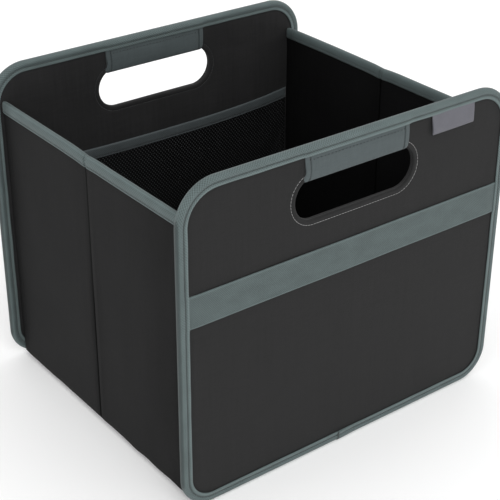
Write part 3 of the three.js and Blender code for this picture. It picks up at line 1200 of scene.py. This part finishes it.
def innerSkin(y, z, side):
    seed = 53 if side < 0 else 59
    rise = math.sin(math.pi * min(1.0, max(0.0, (z - 6) / 236)))
    wave = ripple(y, z * 0.3, seed, 34) * 0.6 + ripple(y, z, seed + 1, 80) * 0.5
    flat = 1 - hump(y, 0, 2.0)
    high = ease(z, 110, 150)  # flat lower down, where the floor folds against it
    inward = flat * (0.06 + sideWall["wave"] * 0.7 * max(-0.1, wave) * rise * high)
    back = 0.8 * (1 - high) * (1 - cornerTurn(y))
    tuck = sideWall["creaseTuck"] * hump(y, 0, 0.4)
    return sideWall["innerX"] - inward + back + tuck + 0.9 * cornerTurn(y)


def wallColumns(start, end):
    # finer near the crease and the corners
    spots, y = [], start
    while y < end - 0.05:
        spots.append(y)
        y += 0.2 if abs(y) < 1.6 else 0.8 if abs(y) < 9 or abs(y) > 119 else 2.4
    return spots + [end]


wallFoot = [(0.0, 2.6), (0.05, 1.6), (0.35, 0.7), (0.85, 0.15), (1.35, 0.0)]


def wallSheet(name, side, start, end, skin, finish, lining=False):
    # a sheet from under the top binding down to its turned foot
    low = wallLow[2] - 0.8
    turn = low + sideWall["footRise"]
    turnIn = sideWall["middleX"]
    heights = list(np.linspace(sideWall["topZ"], turn, 62))
    rows = []
    for y in wallColumns(start, end):
        line = [(side * skin(y, z, side), y, z) for z in heights]
        edge = skin(y, turn, side)
        for inward, rise in wallFoot:
            share = inward / wallFoot[-1][0]
            x = edge + (turnIn - edge) * share
            notch = 1.9 * hump(y, 0.6, 1.7) * (1 - rise / 2.6)
            hang = sideWall["footWave"] * (ripple(y, 5, 45, 17) - 0.3) * (1 - rise / 3.2)
            line.append((side * x, y, low + rise + notch + min(0.6, hang)))
        rows.append(line)
    facing = (-side if lining else side, 0, 0)
    return gridPiece(
        name, rows, finish, facing=facing, flatMap=(1, 2), thickness=sideWall["cloth"],
    )


wallTape = {
    "unevenness": 0.1,
    "stitchRise": 1.9,
    # out from the wall's middle, and height above the tape's lip
    "outside": [
        (2.1, 0.1), (2.42, 0.0), (2.6, 0.45), (2.64, 1.2), (2.44, 1.9), (2.66, 2.7),
        (2.82, 4.2), (2.82, 5.6), (2.66, 7.1), (2.25, 8.3), (1.5, 9.05), (0.55, 9.35),
    ],
    "inside": [(1.95, 1.2), (1.95, 6.4), (1.5, 8.0), (0.6, 8.5)],
}


def wallTapeProfile():
    def mirrored(points):
        return [(-out, rise) for out, rise in points[::-1]]

    outside, inside = wallTape["outside"], wallTape["inside"]
    return [*outside, *mirrored(outside), *mirrored(inside)[::-1], *inside[::-1]]


def wallTapeSpot(y, out, rise, side):
    seed = 61 if side < 0 else 67
    turn = cornerTurn(y)
    pinch = 0.3 * hump(y, 0, 1.0) + 0.46 * turn
    middle = math.sin(math.pi * min(1.0, abs(y) / sideWall["flatY"])) ** 0.8
    bulge = sideWall["swell"] * 0.5 * middle
    bulge *= 1 - hump(y, 0, 2.5)
    wave = wallTape["unevenness"] * ripple(y, rise * 2 * (1 if out > 0 else -1), seed, 22)
    out = out * (1 - pinch) + (wave if out > 0 else -wave)
    x = sideWall["middleX"] + bulge - 0.4 * turn + out
    z = tapeLow[2] - 0.15 + rise
    z += 0.3 * ripple(y, 0, seed + 2, 70) - 0.7 * hump(y, 0, 10) - 0.9 * turn * ease(rise, 3, 9)
    return (side * x, y, z)


def wallTapePiece(name, side, start, end):
    rows = [
        [wallTapeSpot(y, out, rise, side) for out, rise in wallTapeProfile()]
        for y in wallColumns(start, end)
    ]
    return gridPiece(name, rows, "wallTape", loop=True, along=wallColumns(start, end))


def wallTapeRows(side, start, end):
    spots = wallColumns(start, end)
    return [
        [wallTapeSpot(y, out, wallTape["stitchRise"], side) for y in spots]
        for out in (2.55, -2.55)
    ]


def joinCorner(piece, slotName, side, end):
    # the cloth at a jointed corner stays where it is built, or rides on the wall at the open
    # corner
    if (side, end) in cornerJoints:
        panel, wall = cornerJoints[side, end]
        bendBetween(
            piece, slotName, (panel, wall), (side * 148, end * sideWall["seamY"], 120),
            (side * 148, end * sideWall["cornerY"], 120),
        )
    else:
        settle(piece, "right_rear_wall", slotName)


wallLayers = {
    # finish, material slot, last word of the CAD node, flat size and how it is held
    "cloth": ("wallFabric", "black_fabric", "fabric", (0.262, 0.246), "stretched"),
    "lining": ("wallLining", "black_lining", "lining", (0.262, 0.246), "stretched"),
    "tape": ("wallTape", "grey_tape", "binding", (0.262, 0.0235), "folded"),
}


def wallLayer(name, layer, side, start, end):
    if layer == "tape":
        return wallTapePiece(name, side, start, end)
    inner = layer == "lining"
    skin = innerSkin if inner else outerSkin
    return wallSheet(name, side, start, end, skin, wallLayers[layer][0], inner)


for side, word in ((-1, "left"), (1, "right")):
    bodies = (f"{word}_front_wall", f"{word}_rear_wall")
    reach = sideWall["cornerY"]
    fold = [(side * 150, way * sideWall["creaseHalf"], 120) for way in (-1, 1)]
    corners = {layer: [] for layer in wallLayers}
    for end, place in ((-1, "front"), (1, "rear")):
        near, far = sorted((end * reach, end * sideWall["seamY"]))
        for layer, (_, slotName, *_) in wallLayers.items():
            strip = wallLayer(f"{word}_{place}_corner_{layer}", layer, side, near, far)
            joinCorner(strip, slotName, side, end)
            corners[layer].append(strip)
    for layer, (_, slotName, node, flat, held) in wallLayers.items():
        piece = wallLayer(f"{word}_wall_{layer}", layer, side, -reach, reach)
        bendBetween(piece, slotName, bodies, *fold, *(f"{body}_{node}" for body in bodies))
    rows = wallTapeRows(side, -reach + 0.5, reach - 0.5)
    bendBetween(sew(f"{word}_wall_stitches", rows, "tapeThread"), "grey_tape", bodies, *fold)
print("side walls are dressed")


# backing behind the back right corner, whose seam no joint carries
cornerBacking = {"start": 124.7, "under": 0.75}


def backingSkin(y, z, side):
    return outerSkin(y, z, side) - cornerBacking["under"]


backing = wallSheet(
    "right_rear_corner_backing", 1, cornerBacking["start"], sideWall["seamY"], backingSkin,
    "blackFabric",
)
settle(backing, "back_panel", "black_fabric")


# mesh pocket on the back panel's inner side
netLow, netHigh = boxOf("mesh_pocket")
pocketLow, pocketHigh = boxOf("mesh_pocket_binding")
pocket = {
    "wallY": outerY - panelThick + 0.75,  # where it is sewn to the lining
    "slack": 1.9,
    "topSlack": 0.9,
    "reach": 1.6,  # into the corner seam
    "hang": 6.5,
    "settle": 1.0,
    "unevenness": 0.35,
}


def mouthHang(x):
    # the mouth hangs in the middle and is drawn up at its ends
    return pocket["hang"] * (abs(x) / netHigh[0]) ** 2.6 - pocket["hang"] * 0.65


def pocketOut(x, z):
    # how far the net stands off the lining
    t = min(1.0, max(0.0, (netHigh[0] - abs(x)) / netHigh[0]))
    side = math.sin(math.pi / 2 * min(1.0, t * 2.2))
    rise = (z - netLow[2]) / (pocketHigh[2] - netLow[2])
    belly = pocket["slack"] * math.sin(math.pi * min(1.0, max(0.0, rise * 0.86))) ** 0.7
    wave = pocket["unevenness"] * ripple(x, z, 71, 60) * ease(rise, 0, 0.2)
    slack = belly * (1 - ease(rise, 0.7, 1)) + pocket["topSlack"] * ease(rise, 0.5, 1)
    return 0.45 + side * slack + wave * side


def makeNet(name):
    reach = netHigh[0] + pocket["reach"]
    xs = np.linspace(-reach, reach, 121)
    low, high = netLow[2] - 2.5, pocketHigh[2] - 5
    rows = []
    for x in xs:
        top = high + mouthHang(x)
        zs = [low + (top - low) * t for t in np.linspace(0, 1, 72)]
        rows.append([(x, pocket["wallY"] - pocketOut(x, z), z) for z in zs])
    net = gridPiece(name, rows, "blackNet", facing=(0, -1, 0), flatMap=(0, 2))
    return thicken(hangLoose(net, 72, pocket["settle"]), 0.3)


pocketTape = {
    # how far it stands out, and height: up the outer leg, over, and down behind
    "fold": [
        (0.55, 0.0), (0.72, 0.12), (0.82, 0.6), (0.8, 1.2), (0.6, 1.7), (0.8, 2.2), (0.9, 3.4),
        (0.9, 7.4), (0.78, 8.9), (0.45, 9.85), (0.0, 10.1), (-0.4, 9.8), (-0.6, 8.8), (-0.62, 5),
        (-0.6, 2), (-0.5, 0.6),
    ],
    "cloth": 0.35,
}


def pocketTapeSpot(x, out, rise):
    z = pocketLow[2] + rise + mouthHang(x) + 0.25 * ripple(x, 0, 75, 60)
    y = pocket["wallY"] - pocketOut(x, pocketLow[2] + 3) - 0.1 - out
    return (x, y, z)


def makePocketTape(name):
    reach = pocketHigh[0] + pocket["reach"]
    xs = np.linspace(-reach, reach, 120)
    rows = [[pocketTapeSpot(x, out, rise) for out, rise in pocketTape["fold"]] for x in xs]
    return gridPiece(
        name, rows, "darkTape", facing=(0, -1, 0), along=xs, thickness=pocketTape["cloth"],
    )


net = settle(makeNet("pocket_net"), "back_panel", "black_mesh", "mesh_pocket")
mouth = settle(makePocketTape("pocket_tape"), "back_panel", "dark_tape", "mesh_pocket_binding")
seamSpots = np.linspace(pocketLow[0] + 1, pocketHigh[0] - 1, 120)
pocketSeam = [pocketTapeSpot(x, 0.62, 1.6) for x in seamSpots]
settle(sew("pocket_stitches", [pocketSeam], "darkThread", width=0.5), "back_panel", "dark_tape")
print("pocket is dressed")


# floor boards, their covers, hinge strips and corner gussets
coverLow, coverHigh = boxOf("rear_floor_cover")
baseLow, _ = boxOf("rear_base_fabric")
floorShape = {
    "narrow": 20,
    "slope": 1.35,
    "hingeY": outerY - panelThick - 5,
    "edgeRoll": [(-3.2, 0.0), (-1.6, 0.02), (-0.6, 0.12), (0.0, 0.4), (0.35, 0.85), (0.58, 1.35)],
    "unevenness": 0.22,
    "cloth": 0.4,
    "seamZ": 7.35,  # where cover and base cloth meet, round the board's edge
}


def floorHalfWidth(y):
    mitreEnd = floorShape["hingeY"] - (coverHigh[0] - floorShape["narrow"]) / floorShape["slope"]
    y = abs(y)
    if y <= mitreEnd:
        return floorShape["narrow"]
    return min(coverHigh[0], floorShape["narrow"] + (y - mitreEnd) * floorShape["slope"])


def floorSheet(name, end, top, finish):
    near, far = coverLow[1], coverHigh[1]
    roll = floorShape["edgeRoll"]
    surface = coverHigh[2] if top else baseLow[2]
    away = -1 if top else 1
    drop = abs(surface - floorShape["seamZ"]) / roll[-1][1]
    ys = [(near - out, fall) for out, fall in roll[::-1]]
    ys += [(y, 0.0) for y in np.linspace(near + 5, far - 5, 56)]
    ys += [(far + out, fall) for out, fall in roll]
    rows = []
    for y, fallY in ys:
        inside = min(far, max(near, y))
        half = floorHalfWidth(inside)
        slim = 0.45 if half == floorShape["narrow"] else 1.0
        xs = [(-half - out * slim, fall) for out, fall in roll[::-1]]
        xs += [(x, 0.0) for x in np.linspace(-half + 4.5, half - 4.5, 52)]
        xs += [(half + out * slim, fall) for out, fall in roll]
        line = []
        for x, fallX in xs:
            fall = max(fallX, fallY)
            wave = floorShape["unevenness"] * ripple(x, y * end, 81 if top else 83, 45)
            seam = 0.0 if top is False else 0.12 * hump(half - abs(x), 5, 0.6)
            z = surface + away * (fall * drop + seam) - away * wave * (1 - min(1.0, fall))
            line.append((x, end * y, z))
        rows.append(line)
    return gridPiece(
        name, rows, finish, facing=(0, 0, 1 if top else -1), flatMap=(0, 1),
        thickness=floorShape["cloth"],
    )


def coverStitches(end):
    rows = []
    z = coverHigh[2] + 0.02
    near, far = coverLow[1] + 5, coverHigh[1] - 5
    for sign in (-1, 1):
        rows.append(
            [(sign * (floorHalfWidth(y) - 5), end * y, z) for y in np.linspace(near, far, 60)]
        )
    rows.append([(x, end * far, z) for x in np.linspace(-130, 130, 60)])
    rows.append([(x, end * near, z) for x in np.linspace(-14, 14, 12)])
    return rows


gusset = {
    "outerX": 149.4, "overlap": 4.0, "sag": 1.6, "z": 5.1, "wave": 0.55, "keep": 0.02,
    "gatherX": 148.9, "settle": 1.2,
}


def gussetSheet(name, side, end):
    rows = []
    for y in np.linspace(0.0, outerY - panelThick + 0.3, 66):
        inner = floorHalfWidth(max(0.6, min(y, coverHigh[1]))) - gusset["overlap"]
        span = gusset["outerX"] - inner
        line = []
        for t in np.linspace(0, 1, 34):
            x = inner + span * t
            sag = gusset["sag"] * math.sin(math.pi * t) * min(1.0, span / 60)
            wave = gusset["wave"] * ripple(x, y, 91 + side + 3 * end, 26) * math.sin(math.pi * t)
            wave *= ease(y, 0, 9)
            z = gusset["z"] - 0.25 * t - sag + wave
            line.append((side * x, end * y, max(2.2, z)))
        rows.append(line)
    sheet = gridPiece(name, rows, "blackFabric", facing=(0, 0, -1), flatMap=(0, 1))
    return thicken(hangLoose(sheet, 34, gusset["settle"]), 0.4)


hingeStrip = {"innerY": 122.5, "rise": 0.2}


def hingeSheet(name, end):
    # cloth from the foot of a face panel to its floor board
    outer = outerY - panelThick + 0.35
    rows = []
    for x in np.linspace(-147, 147, 90):
        line = []
        for t in np.linspace(0, 1, 14):
            y = outer + (hingeStrip["innerY"] - outer) * t
            dip = 0.5 * math.sin(math.pi * t)
            z = baseLow[2] - 0.05 - dip + 0.1 * ripple(x, y, 97, 30)
            line.append((x * (1 - 0.03 * t), end * y, z))
        rows.append(line)
    return gridPiece(name, rows, "blackFabric", facing=(0, 0, 1), flatMap=(0, 1), thickness=0.35)


for end, word, panel in ((-1, "front", "front_panel"), (1, "rear", "back_panel")):
    body = f"{word}_floor"
    cover = floorSheet(f"{word}_floor_cover_cloth", end, True, "blackLining")
    settle(cover, body, "black_lining", f"{word}_floor_cover")
    base = floorSheet(f"{word}_floor_base_cloth", end, False, "blackFabric")
    settle(base, body, "black_fabric", f"{word}_base_fabric")
    seams = sew(f"{word}_floor_stitches", coverStitches(end), "darkThread", width=0.5)
    settle(seams, body, "black_lining")
    strip = hingeSheet(f"{word}_floor_hinge_cloth", end)
    hingeY = outerY - panelThick
    bendBetween(
        strip, "black_fabric", (panel, body), (0, end * (hingeY + 0.2), baseLow[2]),
        (0, end * (hingeStrip["innerY"] + 0.5), baseLow[2]),
    )
    for side, place in ((-1, "left"), (1, "right")):
        name = f"{place}_{word}_floor_gusset"
        cloth = gussetSheet(f"{name}_cloth", side, end)
        settle(cloth, f"{place}_{word}_wall", "black_fabric", name)
        side * gusset["gatherX"] * mm
        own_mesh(cloth)
print("floor is dressed")

for node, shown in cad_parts.items():
    if node.endswith("_board"):
        shown.data.materials.clear()
        name = "plasticBoard" if "floor" in node else "fibreBoard"
        shown.data.materials.append(finishes[name])
